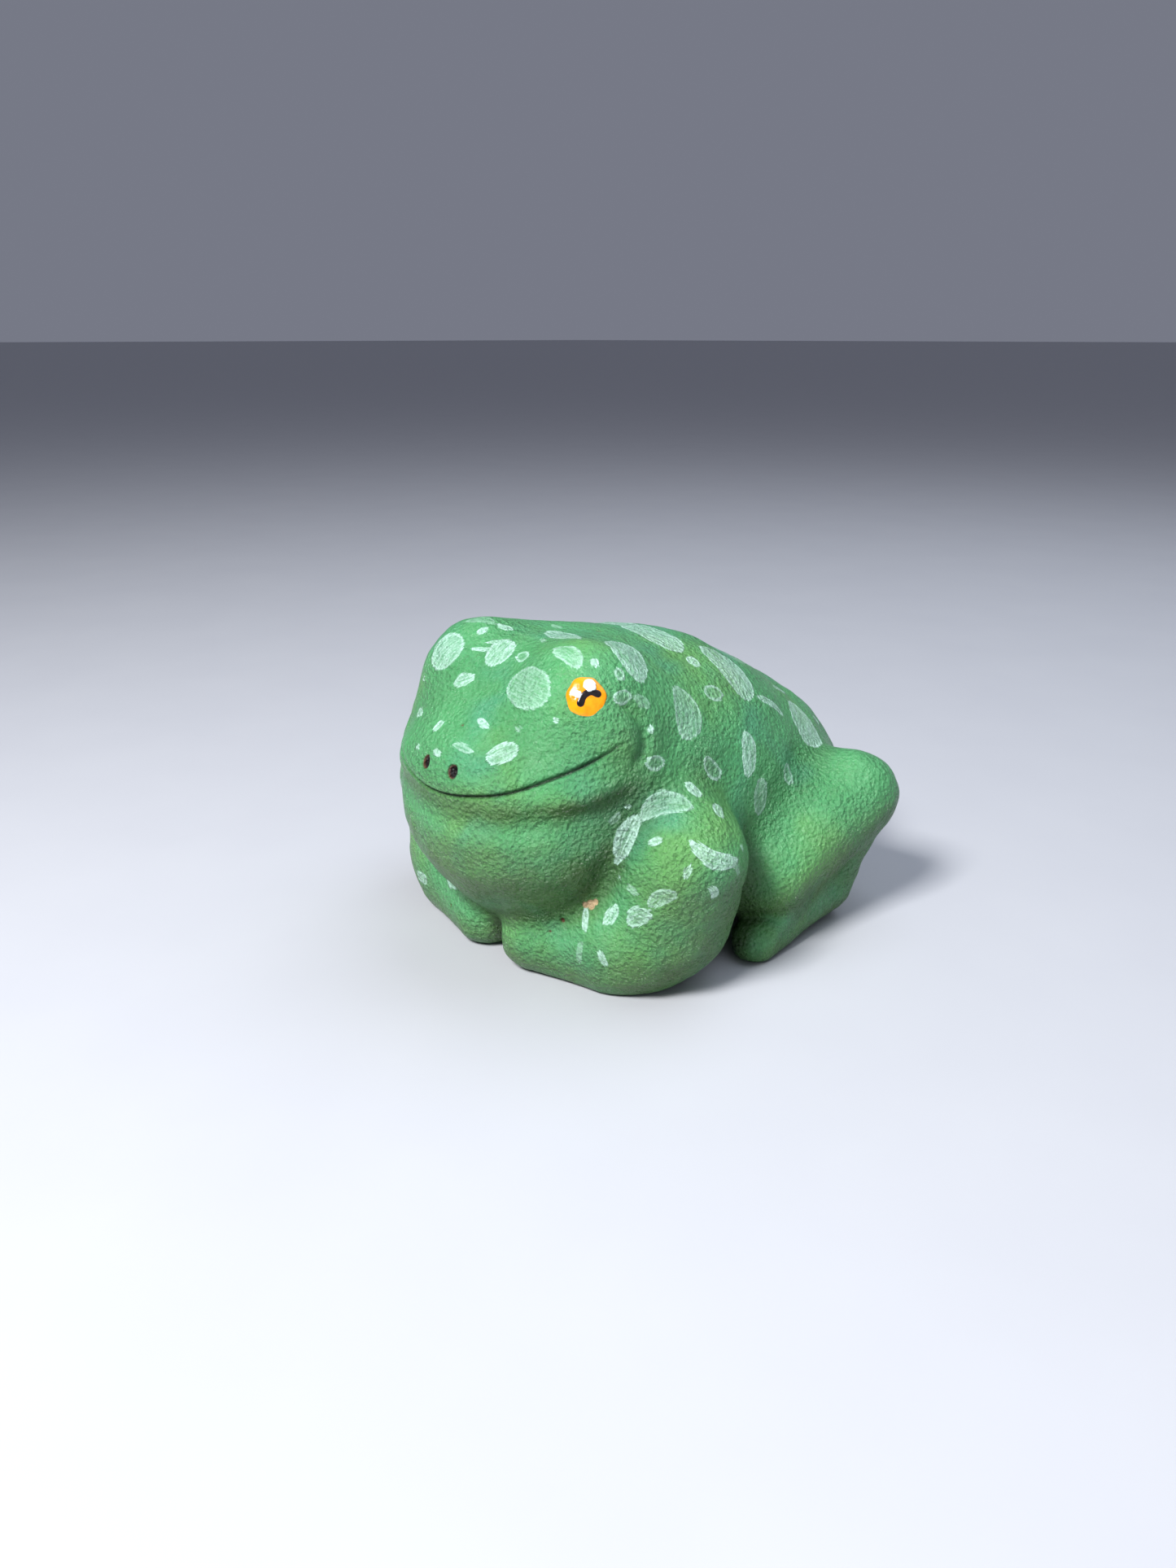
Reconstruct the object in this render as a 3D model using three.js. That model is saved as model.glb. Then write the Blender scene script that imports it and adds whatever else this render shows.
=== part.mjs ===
// A crouching frog figurine: one solid casting that stands on its own flat base,
// with an eye of thick gloss paint on each side of the head.
// Millimetres, +Z up. The nose points along -Y and +X is the frog's left side.
// The origin is at the middle of the base, on the surface that the frog stands on.
import * as THREE from 'three';
import { mergeVertices } from 'three/addons/utils/BufferGeometryUtils.js';

// The casting's facets follow a grid of this cell, inside a room that clears the figure.
const SKIN_CELL = 5.55;
const ROOM = { from: [-90, -100, -8], to: [90, 102, 122] };
const BASE_ROUND = 2;
const WELD = 1e-4;

// The masses that the figure is modelled from. Those off the middle are on both sides.
// A centre is [out from the middle, back, up]; a pitch raises a mass's rear end, in degrees.
const TORSO = { centre: [0, 0, 49.5], radii: [60, 55, 55.5], pitch: -6 };
const RUMP = { centre: [0, 41.5, 40], radii: [56.5, 49.5, 41.5], pitch: 0 };
const CHEST = { centre: [0, -30, 43], radii: [48, 38, 44], pitch: 0 };
const NECK = { centre: [0, -27, 71], radii: [46, 31.5, 28.5], pitch: 0 };
const CROWN = { centre: [0, -48, 79], radii: [39, 33.5, 23.5], pitch: 21 };
const JAW = { centre: [0, -58, 76], radii: [47, 32, 13], pitch: 19 };
const SNOUT = { centre: [0, -74.5, 73], radii: [26.5, 14.5, 13.5], pitch: 12 };
const BROW = { centre: [25.3, -51, 95], radii: [16.5, 17, 16.8], pitch: 0 };
const CHIN = { centre: [0, -51.5, 64], radii: [44, 35.5, 13], pitch: 21 };
const THROAT = { centre: [0, -52.5, 45.5], radii: [38.5, 29, 34], pitch: 0 };

// A limb runs between two balls; its radius changes evenly along it.
const SHOULDER = { centre: [56, -37.5, 45], radius: 21.5 };
const ELBOW = { centre: [50, -37.5, 25], radius: 23 };
const FOREARM = { centre: [35.5, -48, 11], radius: 17.5 };
const HAND = { centre: [13.5, -60, 11], radius: 13.3 };
const THIGH = { centre: [57.5, 8, 25.5], radius: 17.2 };
const KNEE = { centre: [65, 49, 46], radius: 16.3 };
const HEEL = { centre: [62.5, 39, 11.5], radius: 9.5 };
const TOES = { centre: [64, -5, 5.5], radius: 6 };
const SHIN_STEP_IN = [1.5, 0, 3];
const SHIN_THICKNESS = 16;

// How far the masses melt into each other where they meet.
const BODY_BLEND = 22;
const HEAD_BLEND = 10;
const BROW_BLEND = 18;
const ARM_BLEND = 20;
const CHIN_BLEND = 30;
const LIMB_BLEND = 12;
const THROAT_CREASE = 4;
const THIGH_CREASE = 2.5;

// Each eye is painted on the outside of its brow, the right one a little further back.
// A centre is [out from the middle, back, up].
const LEFT_EYE = [38, -62, 101.3];
const RIGHT_EYE = [39, -50, 98];
const IRIS_RADIUS = 6.3;
const PAINT_GAP = 0.45;
const IRIS_THICKNESS = 0.9;
const DAB_THICKNESS = 0.7;
const DAB_SIDES = 20;
const PUPIL = { across: 0.8, up: -0.5, width: 5.8, bar: 2.3, arch: 1.3, tilt: 25 };
const BIG_GLINT = { across: 1, up: 3.3, radius: 2 };
const SMALL_GLINT = { across: -2.4, up: 0.8, radius: 1.2 };

const paint = (color, roughness) => new THREE.MeshStandardMaterial({ color, roughness, metalness: 0 });
const greenPaint = paint(0x58b064, 0.55);
const orangePaint = paint(0xf59a14, 0.25);
const blackPaint = paint(0x14110f, 0.2);
const whitePaint = paint(0xf4f6f2, 0.2);

const vector = (list) => new THREE.Vector3(...list);

// Signed distance to an ellipsoid, close enough near its surface.
function massField({ centre, radii, pitch }, side = 1) {
  const [x0, y0, z0] = centre;
  const [a, b, c] = radii;
  const cos = Math.cos(THREE.MathUtils.degToRad(pitch));
  const sin = Math.sin(THREE.MathUtils.degToRad(pitch));
  return (x, y, z) => {
    const u = (x - side * x0) / a;
    const v = ((y - y0) * cos + (z - z0) * sin) / b;
    const w = ((z - z0) * cos - (y - y0) * sin) / c;
    const reach = Math.hypot(u, v, w);
    const slope = Math.hypot(u / a, v / b, w / c) + 1e-9;
    return (reach * (reach - 1)) / slope;
  };
}

// Signed distance to a limb, mirrored to both sides of the frog.
function limbField(from, to) {
  const line = new THREE.Line3(vector(from.centre), vector(to.centre));
  const point = new THREE.Vector3();
  const nearest = new THREE.Vector3();
  return (x, y, z) => {
    point.set(Math.abs(x), y, z);
    const along = line.closestPointToPointParameter(point, true);
    const radius = from.radius + (to.radius - from.radius) * along;
    return point.distanceTo(line.at(along, nearest)) - radius;
  };
}

// Signed distance to a flat three-cornered web of one thickness, mirrored to both sides.
function webField(corners, thickness) {
  const triangle = new THREE.Triangle(...corners);
  const point = new THREE.Vector3();
  const nearest = new THREE.Vector3();
  return (x, y, z) => {
    point.set(Math.abs(x), y, z);
    return point.distanceTo(triangle.closestPointToPoint(point, nearest)) - thickness / 2;
  };
}

// Two fields joined with a fillet of the given width.
function blend(width, first, second) {
  return (x, y, z) => {
    const a = first(x, y, z);
    const b = second(x, y, z);
    const overlap = Math.max(width - Math.abs(a - b), 0) / width;
    return Math.min(a, b) - (overlap * overlap * width) / 4;
  };
}

function bodyField() {
  const trunk = blend(BODY_BLEND, massField(TORSO), massField(CHEST));
  return blend(BODY_BLEND, blend(BODY_BLEND, trunk, massField(RUMP)), massField(NECK));
}

function headField() {
  const crown = blend(HEAD_BLEND, massField(CROWN), massField(JAW));
  const face = blend(HEAD_BLEND, crown, massField(SNOUT));
  return blend(BROW_BLEND, blend(BROW_BLEND, face, massField(BROW, 1)), massField(BROW, -1));
}

function armField() {
  return blend(ARM_BLEND, limbField(SHOULDER, ELBOW), limbField(FOREARM, HAND));
}

function legField() {
  const shinTop = vector(KNEE.centre).sub(vector(SHIN_STEP_IN));
  const shinStart = { centre: shinTop.toArray(), radius: KNEE.radius - SHIN_STEP_IN[0] };
  const web = webField([shinTop, vector(HEEL.centre), vector(TOES.centre)], SHIN_THICKNESS);
  const shin = blend(THIGH_CREASE, web, limbField(shinStart, HEEL));
  const lowerLeg = blend(THIGH_CREASE, shin, limbField(HEEL, TOES));
  return blend(THIGH_CREASE, limbField(THIGH, KNEE), lowerLeg);
}

// What is left of a field above a level, with a small round at the cut's edge.
function above(level, field) {
  const cut = blend(BASE_ROUND, (x, y, z) => -field(x, y, z), (x, y, z) => z - level);
  return (x, y, z) => -cut(x, y, z);
}

// The whole skin, cut off flat where it stands.
function skinField() {
  const bust = blend(BODY_BLEND, bodyField(), headField());
  const throat = blend(CHIN_BLEND, massField(THROAT), massField(CHIN));
  const withArms = blend(LIMB_BLEND, bust, armField());
  return above(0, blend(LIMB_BLEND, blend(THROAT_CREASE, withArms, throat), legField()));
}

// Moves a point onto the zero surface of a field, along the field's slope.
function settle(field, point) {
  const step = 0.3;
  const slope = new THREE.Vector3();
  for (let round = 0; round < 3; round += 1) {
    const { x, y, z } = point;
    slope.set(
      field(x + step, y, z) - field(x - step, y, z),
      field(x, y + step, z) - field(x, y - step, z),
      field(x, y, z + step) - field(x, y, z - step),
    ).divideScalar(2 * step);
    point.addScaledVector(slope, -field(x, y, z) / Math.max(slope.lengthSq(), 0.1));
  }
  return point;
}

// A closed mesh around a field's inside: one vertex in each grid cell that the surface
// passes through, and a pair of triangles across each grid edge that it crosses.
function fieldGeometry(field, box, cell) {
  const counts = box.getSize(new THREE.Vector3()).divideScalar(cell).ceil().addScalar(1);
  const [nx, ny, nz] = counts.toArray();
  const index = (i, j, k) => i + nx * (j + ny * k);
  const place = (i, j, k) => new THREE.Vector3(i, j, k).multiplyScalar(cell).add(box.min);
  const values = new Float64Array(nx * ny * nz);
  for (let k = 0; k < nz; k += 1) {
    for (let j = 0; j < ny; j += 1) {
      for (let i = 0; i < nx; i += 1) {
        const { x, y, z } = place(i, j, k);
        values[index(i, j, k)] = field(x, y, z);
      }
    }
  }
  const positions = [];
  const vertexOf = new Map();
  const corners = [0, 1].flatMap((a) => [0, 1].flatMap((b) => [0, 1].map((c) => [a, b, c])));
  const edges = corners.flatMap((from) => [0, 1, 2]
    .filter((axis) => from[axis] === 0)
    .map((axis) => [from, from.map((value, n) => (n === axis ? 1 : value))]));
  const cellVertex = (i, j, k) => {
    const key = index(i, j, k);
    if (vertexOf.has(key)) return vertexOf.get(key);
    const middle = new THREE.Vector3();
    let crossings = 0;
    for (const [[a, b, c], [d, e, f]] of edges) {
      const start = values[index(i + a, j + b, k + c)];
      const end = values[index(i + d, j + e, k + f)];
      if ((start < 0) !== (end < 0)) {
        const from = place(i + a, j + b, k + c);
        middle.add(from.lerp(place(i + d, j + e, k + f), start / (start - end)));
        crossings += 1;
      }
    }
    settle(field, middle.divideScalar(crossings));
    positions.push(middle.x, middle.y, middle.z);
    vertexOf.set(key, positions.length / 3 - 1);
    return positions.length / 3 - 1;
  };
  const triangles = [];
  const crossEdge = (here, there, ring) => {
    if ((values[here] < 0) === (values[there] < 0)) return;
    const quad = ring.map((spot) => cellVertex(...spot));
    if (values[here] >= 0) quad.reverse();
    triangles.push(quad[0], quad[1], quad[2], quad[0], quad[2], quad[3]);
  };
  for (let k = 1; k < nz - 1; k += 1) {
    for (let j = 1; j < ny - 1; j += 1) {
      for (let i = 1; i < nx - 1; i += 1) {
        const here = index(i, j, k);
        crossEdge(here, index(i + 1, j, k), [[i, j - 1, k - 1], [i, j, k - 1], [i, j, k], [i, j - 1, k]]);
        crossEdge(here, index(i, j + 1, k), [[i - 1, j, k - 1], [i - 1, j, k], [i, j, k], [i, j, k - 1]]);
        crossEdge(here, index(i, j, k + 1), [[i - 1, j - 1, k], [i, j - 1, k], [i, j, k], [i - 1, j, k]]);
      }
    }
  }
  const geometry = new THREE.BufferGeometry();
  geometry.setAttribute('position', new THREE.Float32BufferAttribute(positions, 3));
  geometry.setIndex(triangles);
  geometry.computeVertexNormals();
  return geometry;
}

// The plane frame of an eye: where it is on the skin, and its across, up and out directions.
function eyeFrame(skin, centre) {
  const origin = settle(skin, vector(centre));
  const step = 2;
  const out = new THREE.Vector3(
    skin(origin.x + step, origin.y, origin.z) - skin(origin.x - step, origin.y, origin.z),
    skin(origin.x, origin.y + step, origin.z) - skin(origin.x, origin.y - step, origin.z),
    skin(origin.x, origin.y, origin.z + step) - skin(origin.x, origin.y, origin.z - step),
  ).normalize();
  const across = new THREE.Vector3(0, 0, 1).cross(out).normalize();
  const up = out.clone().cross(across);
  return { origin, across, up, out };
}

// A flat dab one unit thick, draped over the skin so that it fills one height to another.
function drapedGeometry(slab, skin, frame, from, to, side) {
  const place = slab.attributes.position;
  const point = new THREE.Vector3();
  for (let n = 0; n < place.count; n += 1) {
    const height = place.getZ(n) > 0.5 ? to : from;
    point.copy(frame.origin)
      .addScaledVector(frame.across, place.getX(n))
      .addScaledVector(frame.up, place.getY(n));
    settle(skin, point).addScaledVector(frame.out, height);
    place.setXYZ(n, side * point.x, point.y, point.z);
  }
  slab.deleteAttribute('normal');
  slab.deleteAttribute('uv');
  const welded = mergeVertices(slab, WELD);
  if (side < 0) welded.setIndex(Array.from(welded.index.array).reverse());
  welded.computeVertexNormals();
  return welded;
}

// A round dab, turned with rings of points so that it can bend over the brow.
function discSlab({ across = 0, up = 0, radius }) {
  const rings = [0, radius / 3, (2 * radius) / 3, radius];
  const under = rings.map((reach) => new THREE.Vector2(reach, 0));
  const over = rings.map((reach) => new THREE.Vector2(reach, 1)).reverse();
  const disc = new THREE.LatheGeometry([...under, ...over], DAB_SIDES);
  return disc.rotateX(Math.PI / 2).translate(across, up, 0);
}

// The pupil is a tilted bar that arches over its middle and ends in a round lobe at each side.
function pupilSlab() {
  const half = PUPIL.width / 2;
  const lobe = PUPIL.bar / 2;
  const shape = new THREE.Shape();
  shape.moveTo(-half, lobe);
  shape.quadraticCurveTo(0, lobe + 2 * PUPIL.arch, half, lobe);
  shape.absarc(half, 0, lobe, Math.PI / 2, -Math.PI / 2, true);
  shape.quadraticCurveTo(0, -lobe + 2 * PUPIL.arch, -half, -lobe);
  shape.absarc(-half, 0, lobe, -Math.PI / 2, -3 * Math.PI / 2, true);
  const slab = new THREE.ExtrudeGeometry(shape, { depth: 1, bevelEnabled: false, curveSegments: 8 });
  return slab.rotateZ(THREE.MathUtils.degToRad(PUPIL.tilt)).translate(PUPIL.across, PUPIL.up, 0);
}

function namedMesh(name, geometry, material) {
  const mesh = new THREE.Mesh(geometry, material);
  mesh.name = name;
  return mesh;
}

// One painted eye: an iris on the skin, a pupil on the iris and two glints on the pupil's edge.
function eye(skin, centre, sideName, side) {
  const frame = eyeFrame(skin, centre);
  const irisTop = PAINT_GAP + IRIS_THICKNESS;
  const pupilFrom = irisTop + PAINT_GAP;
  const pupilTop = pupilFrom + DAB_THICKNESS;
  const glintFrom = pupilTop + PAINT_GAP;
  const glintTop = glintFrom + DAB_THICKNESS;
  const dab = (slab, from, to) => drapedGeometry(slab, skin, frame, from, to, side);
  const group = new THREE.Group();
  group.add(
    namedMesh(`iris_${sideName}`, dab(discSlab({ radius: IRIS_RADIUS }), PAINT_GAP, irisTop), orangePaint),
    namedMesh(`pupil_${sideName}`, dab(pupilSlab(), pupilFrom, pupilTop), blackPaint),
    namedMesh(`big_glint_${sideName}`, dab(discSlab(BIG_GLINT), glintFrom, glintTop), whitePaint),
    namedMesh(`small_glint_${sideName}`, dab(discSlab(SMALL_GLINT), glintFrom, glintTop), whitePaint),
  );
  return group;
}

// Stands the figure with the middle of its outline over the origin.
function standing(figure) {
  const middle = new THREE.Box3().setFromObject(figure).getCenter(new THREE.Vector3());
  figure.position.set(-middle.x, -middle.y, 0);
  const stand = new THREE.Group();
  stand.add(figure);
  return stand;
}

function frog() {
  const skin = skinField();
  const figure = new THREE.Group();
  const room = new THREE.Box3(vector(ROOM.from), vector(ROOM.to));
  figure.add(
    namedMesh('body_casting', fieldGeometry(skin, room, SKIN_CELL), greenPaint),
    eye(skin, LEFT_EYE, 'left', 1),
    eye(skin, RIGHT_EYE, 'right', -1),
  );
  return standing(figure);
}

export default frog();
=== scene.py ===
"""A crouching frog figurine: its painted skin, its glossy eyes, the floor, the light and the camera.

The figure is worked in millimetres in the frog's own frame, where the nose points along -Y,
+X is its left side and z = 0 is the base. It is then stood where the CAD casting stands.
"""

import bmesh
import bpy
import numpy as np
from mathutils import Euler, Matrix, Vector


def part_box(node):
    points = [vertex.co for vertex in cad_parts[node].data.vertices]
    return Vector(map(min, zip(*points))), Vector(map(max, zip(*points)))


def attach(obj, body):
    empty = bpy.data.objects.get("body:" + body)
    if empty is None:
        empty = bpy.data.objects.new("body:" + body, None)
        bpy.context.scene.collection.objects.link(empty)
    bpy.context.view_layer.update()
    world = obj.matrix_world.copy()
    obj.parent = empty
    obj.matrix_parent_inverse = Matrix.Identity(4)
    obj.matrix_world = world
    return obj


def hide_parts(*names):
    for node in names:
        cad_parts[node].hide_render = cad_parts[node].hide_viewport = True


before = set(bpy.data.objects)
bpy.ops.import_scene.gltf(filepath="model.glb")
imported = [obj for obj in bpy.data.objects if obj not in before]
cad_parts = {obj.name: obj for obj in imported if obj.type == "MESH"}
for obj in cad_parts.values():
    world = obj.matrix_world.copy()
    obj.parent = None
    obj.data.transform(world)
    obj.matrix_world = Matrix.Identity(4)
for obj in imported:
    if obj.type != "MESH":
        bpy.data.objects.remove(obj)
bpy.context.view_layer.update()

MM = 0.001

# The masses that the figure is modelled from. Those off the middle are on both sides.
# A centre is (out from the middle, back, up); a pitch raises a mass's rear end, in degrees.
TORSO = dict(centre=(0, 0, 49.5), radii=(60, 55, 55.5), pitch=-6)
RUMP = dict(centre=(0, 41.5, 40), radii=(56.5, 49.5, 41.5), pitch=0)
CHEST = dict(centre=(0, -30, 43), radii=(48, 38, 44), pitch=0)
NECK = dict(centre=(0, -27, 71), radii=(46, 31.5, 28.5), pitch=0)
CROWN = dict(centre=(0, -48, 79), radii=(39, 33.5, 23.5), pitch=21)
JAW = dict(centre=(0, -58, 76), radii=(47, 32, 13), pitch=19)
SNOUT = dict(centre=(0, -74.5, 73), radii=(26.5, 14.5, 13.5), pitch=12)
BROW = dict(centre=(25.3, -51, 95), radii=(16.5, 17, 16.8), pitch=0)
CHIN = dict(centre=(0, -51.5, 64), radii=(44, 35.5, 13), pitch=21)
THROAT = dict(centre=(0, -52.5, 45.5), radii=(38.5, 29, 34), pitch=0)

# A limb runs between two balls; its radius changes evenly along it.
SHOULDER = dict(centre=(56, -37.5, 45), radius=21.5)
ELBOW = dict(centre=(50, -37.5, 25), radius=23)
FOREARM = dict(centre=(35.5, -48, 11), radius=17.5)
HAND = dict(centre=(13.5, -60, 11), radius=13.3)
THIGH = dict(centre=(57.5, 8, 25.5), radius=17.2)
KNEE = dict(centre=(65, 49, 46), radius=16.3)
HEEL = dict(centre=(62.5, 39, 11.5), radius=9.5)
TOES = dict(centre=(64, -5, 5.5), radius=6)
SHIN_STEP_IN = np.array([1.5, 0, 3])
SHIN_THICKNESS = 16

# How far the masses melt into each other where they meet.
BODY_BLEND = 22
HEAD_BLEND = 10
BROW_BLEND = 18
ARM_BLEND = 20
CHIN_BLEND = 30
LIMB_BLEND = 12
THROAT_CREASE = 4
THIGH_CREASE = 2.5
BASE_ROUND = 2


# ---- shape ----
def mass(points, shape, side=1):
    """Signed distance to an ellipsoid, close enough near its surface."""
    turn = np.radians(shape["pitch"])
    local = points - np.array(shape["centre"]) * (side, 1, 1)
    along = local[:, 1] * np.cos(turn) + local[:, 2] * np.sin(turn)
    above = local[:, 2] * np.cos(turn) - local[:, 1] * np.sin(turn)
    scaled = np.stack([local[:, 0], along, above], 1) / shape["radii"]
    reach = np.linalg.norm(scaled, axis=1)
    slope = np.linalg.norm(scaled / shape["radii"], axis=1) + 1e-9
    return reach * (reach - 1) / slope


def mirrored(points):
    return points * (1, 0, 0) * np.sign(points) + points * (0, 1, 1)


def limb(points, start, end):
    """Signed distance to a limb, mirrored to both sides of the frog."""
    origin = np.array(start["centre"])
    line = np.array(end["centre"]) - origin
    local = mirrored(points) - origin
    along = np.clip(local @ line / (line @ line), 0, 1)
    radius = start["radius"] + (end["radius"] - start["radius"]) * along
    return np.linalg.norm(local - along[:, None] * line, axis=1) - radius


def web(points, corners, thickness):
    """Signed distance to a flat three-cornered web, mirrored to both sides of the frog."""
    a, b, c = corners
    first, second = b - a, c - a
    normal = np.cross(first, second)
    area = np.linalg.norm(normal)
    normal = normal / area
    local = mirrored(points) - a
    height = local @ normal
    flat = local - height[:, None] * normal
    along = np.cross(flat, second) @ normal / area
    across = np.cross(first, flat) @ normal / area
    inside = (along > 0) & (across > 0) & (along + across < 1)
    edge = np.full(len(points), np.inf)
    for start, end in ((a, b), (b, c), (c, a)):
        line = end - start
        part = np.clip((local + a - start) @ line / (line @ line), 0, 1)
        edge = np.minimum(edge, np.linalg.norm(local + a - start - part[:, None] * line, axis=1))
    return np.where(inside, np.abs(height), edge) - thickness / 2


def blend(width, first, second):
    """Two distances joined with a fillet of the given width."""
    overlap = np.maximum(width - np.abs(first - second), 0) / width
    return np.minimum(first, second) - overlap**2 * width / 4


def body(points):
    trunk = blend(BODY_BLEND, mass(points, TORSO), mass(points, CHEST))
    return blend(BODY_BLEND, blend(BODY_BLEND, trunk, mass(points, RUMP)), mass(points, NECK))


def head(points):
    crown = blend(HEAD_BLEND, mass(points, CROWN), mass(points, JAW))
    face = blend(HEAD_BLEND, crown, mass(points, SNOUT))
    one_brow = blend(BROW_BLEND, face, mass(points, BROW, 1))
    return blend(BROW_BLEND, one_brow, mass(points, BROW, -1))


def arm(points):
    return blend(ARM_BLEND, limb(points, SHOULDER, ELBOW), limb(points, FOREARM, HAND))


def leg(points):
    shin_top = np.array(KNEE["centre"]) - SHIN_STEP_IN
    shin_start = dict(centre=shin_top, radius=KNEE["radius"] - SHIN_STEP_IN[0])
    corners = (shin_top, np.array(HEEL["centre"]), np.array(TOES["centre"]))
    shin = blend(THIGH_CREASE, web(points, corners, SHIN_THICKNESS), limb(points, shin_start, HEEL))
    lower_leg = blend(THIGH_CREASE, shin, limb(points, HEEL, TOES))
    return blend(THIGH_CREASE, limb(points, THIGH, KNEE), lower_leg)


def skin(points):
    """The whole figure, cut off flat where it stands."""
    bust = blend(BODY_BLEND, body(points), head(points))
    throat = blend(CHIN_BLEND, mass(points, THROAT), mass(points, CHIN))
    with_arms = blend(LIMB_BLEND, bust, arm(points))
    figure = blend(LIMB_BLEND, blend(THROAT_CREASE, with_arms, throat), leg(points))
    return -blend(BASE_ROUND, -figure, points[:, 2])


def slope_of(field, points, step=0.3):
    """The direction in which a field rises, by central differences."""
    slope = np.zeros_like(points)
    for axis in range(3):
        shift = np.zeros(3)
        shift[axis] = step
        slope[:, axis] = (field(points + shift) - field(points - shift)) / (2 * step)
    return slope


def settle(points, rounds=3):
    """Moves points onto the skin along its slope."""
    for _ in range(rounds):
        slope = slope_of(skin, points)
        steepness = np.maximum((slope**2).sum(1), 0.1)
        points = points - (skin(points) / steepness)[:, None] * slope
    return points


def unit(vectors):
    return vectors / np.linalg.norm(vectors, axis=-1, keepdims=True)
# ---- end of shape ----

# ---- mesh ----
CELL = 1.17
ROOM_LOW = (0, -95, -4)
ROOM_HIGH = (85, 95, 117)

# The mouth lies close to a tilted plane through the head, which lifts a little off the middle.
MOUTH = dict(front=-90.8, height=67.9, rise=0.5, lift=1.6, across=12, corner=-52.5)
MOUTH_WIDTH = 0.7
MOUTH_DEPTH = 1.5
LIP_ROLL = 0.5
LIP_WIDTH = 3.0
NOSTRIL = dict(centre=(6.6, -90, 76.3), across=1.95, tall=2.2, depth=2.2)
PIT_DEPTH = 0.6

# The cheek swells at the mouth's corner, and a fold curves round behind it.
CHEEK = dict(centre=(46, -57, 89), reach=10.5, fold=1.7, fold_width=2.3, swell=1.2)

# Air bubbles where the brown casting shows: a place and how far across it is.
PITS = (
    ((1, -80, 88), 1.0),
    ((6, -24, 106), 2.0),
    ((-20, -66, 12), 1.2),
    ((27, -70, 20), 0.9),
    ((31, -68, 24), 1.8),
    ((62, -10, 50), 0.8),
    ((-37, 22, 88), 1.1),
    ((14, 74, 48), 1.3),
    ((-58, -10, 60), 0.9),
)
# A knock by the throat, where pale filler shows.
CHIP = (((39.4, -61.5, 31.8), 3.4), ((37.6, -62.6, 31.2), 2.2), ((40.9, -60.6, 33), 2.2))
LUMPS = ((26, 0.35, 11), (11, 0.16, 12), (5, 0.06, 13))
RIPPLE_WAVES = 24
SCULPT_FROM, SCULPT_FULL = 0.5, 5
NOSTRIL_BACK = -80
FAR_OFF = 9.0
FOLD_REACHES = (2.5, 6, 14)
FINE_MOUTH = 2.2
FINE_ABOVE = 60
FINE_FLAW = 1.8
FINE_ROUNDS = 2


def grid_values(field, low, high, cell):
    """A field on a grid that is mirrored to both sides of the frog, and the grid's first corner."""
    out = (np.arange(np.ceil(high[0] / cell)) + 0.5) * cell
    back = np.arange(low[1], high[1], cell)
    up = np.arange(low[2], high[2], cell)
    spots = np.stack(np.meshgrid(out, back, up, indexing="ij"), -1).reshape(-1, 3)
    half = np.concatenate([field(part) for part in np.array_split(spots, 16)])
    half = half.reshape(len(out), len(back), len(up))
    return np.concatenate([half[::-1], half]), np.array((-out[-1], back[0], up[0]))


def surface_nets(values, corner, cell):
    """Points, one in each cell that the surface passes through, and quads that join them."""
    inside = values < 0
    nx, ny, nz = values.shape
    shifts = [(i, j, k) for i in (0, 1) for j in (0, 1) for k in (0, 1)]
    count = sum(inside[i:nx - 1 + i, j:ny - 1 + j, k:nz - 1 + k].astype(int) for i, j, k in shifts)
    crossed = (count > 0) & (count < 8)
    cells = np.argwhere(crossed)
    number = np.full(crossed.shape, -1)
    number[crossed] = np.arange(len(cells))
    total = np.zeros((len(cells), 3))
    hits = np.zeros(len(cells))
    for axis in range(3):
        for shift in (s for s in shifts if s[axis] == 0):
            start = cells + shift
            end = start + np.eye(3, dtype=int)[axis]
            first = values[tuple(start.T)]
            last = values[tuple(end.T)]
            cut = (first < 0) != (last < 0)
            part = first[cut] / (first[cut] - last[cut])
            total[cut] += start[cut] + part[:, None] * np.eye(3)[axis]
            hits += cut
    points = total / hits[:, None] * cell + corner
    quads = []
    for axis in range(3):
        others = [n for n in range(3) if n != axis]
        here = np.take(inside, range(values.shape[axis] - 1), axis)
        there = np.take(inside, range(1, values.shape[axis]), axis)
        edges = np.argwhere(here != there)
        outward = here[tuple(edges.T)] ^ (axis == 1)
        ring = []
        for da, db in ((1, 1), (0, 1), (0, 0), (1, 0)):
            spot = edges.copy()
            spot[:, others[0]] -= da
            spot[:, others[1]] -= db
            ring.append(number[tuple(spot.T)])
        ring = np.stack(ring, 1)
        quads.append(np.where(outward[:, None], ring, ring[:, ::-1]))
    return points, np.concatenate(quads)


def ripple(points, size, seed):
    """Smooth unevenness, mostly between -1 and 1, with waves of about the given size."""
    draw = np.random.default_rng(seed)
    total = np.zeros(len(points))
    for _ in range(RIPPLE_WAVES):
        direction = unit(draw.normal(size=3))
        pitch = size * draw.uniform(0.7, 1.5)
        total += np.sin(points @ direction * 2 * np.pi / pitch + draw.uniform(0, 2 * np.pi))
    return total / np.sqrt(RIPPLE_WAVES)


def rise(values, low, high):
    """A smooth step from 0 at low to 1 at high."""
    part = np.clip((values - low) / (high - low), 0, 1)
    return part * part * (3 - 2 * part)


def mouth_plane(points):
    lift = MOUTH["lift"] * (1 - np.exp(-((points[:, 0] / MOUTH["across"]) ** 2)))
    line = MOUTH["height"] + MOUTH["rise"] * (points[:, 1] - MOUTH["front"]) + lift
    return points[:, 2] - line


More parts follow.
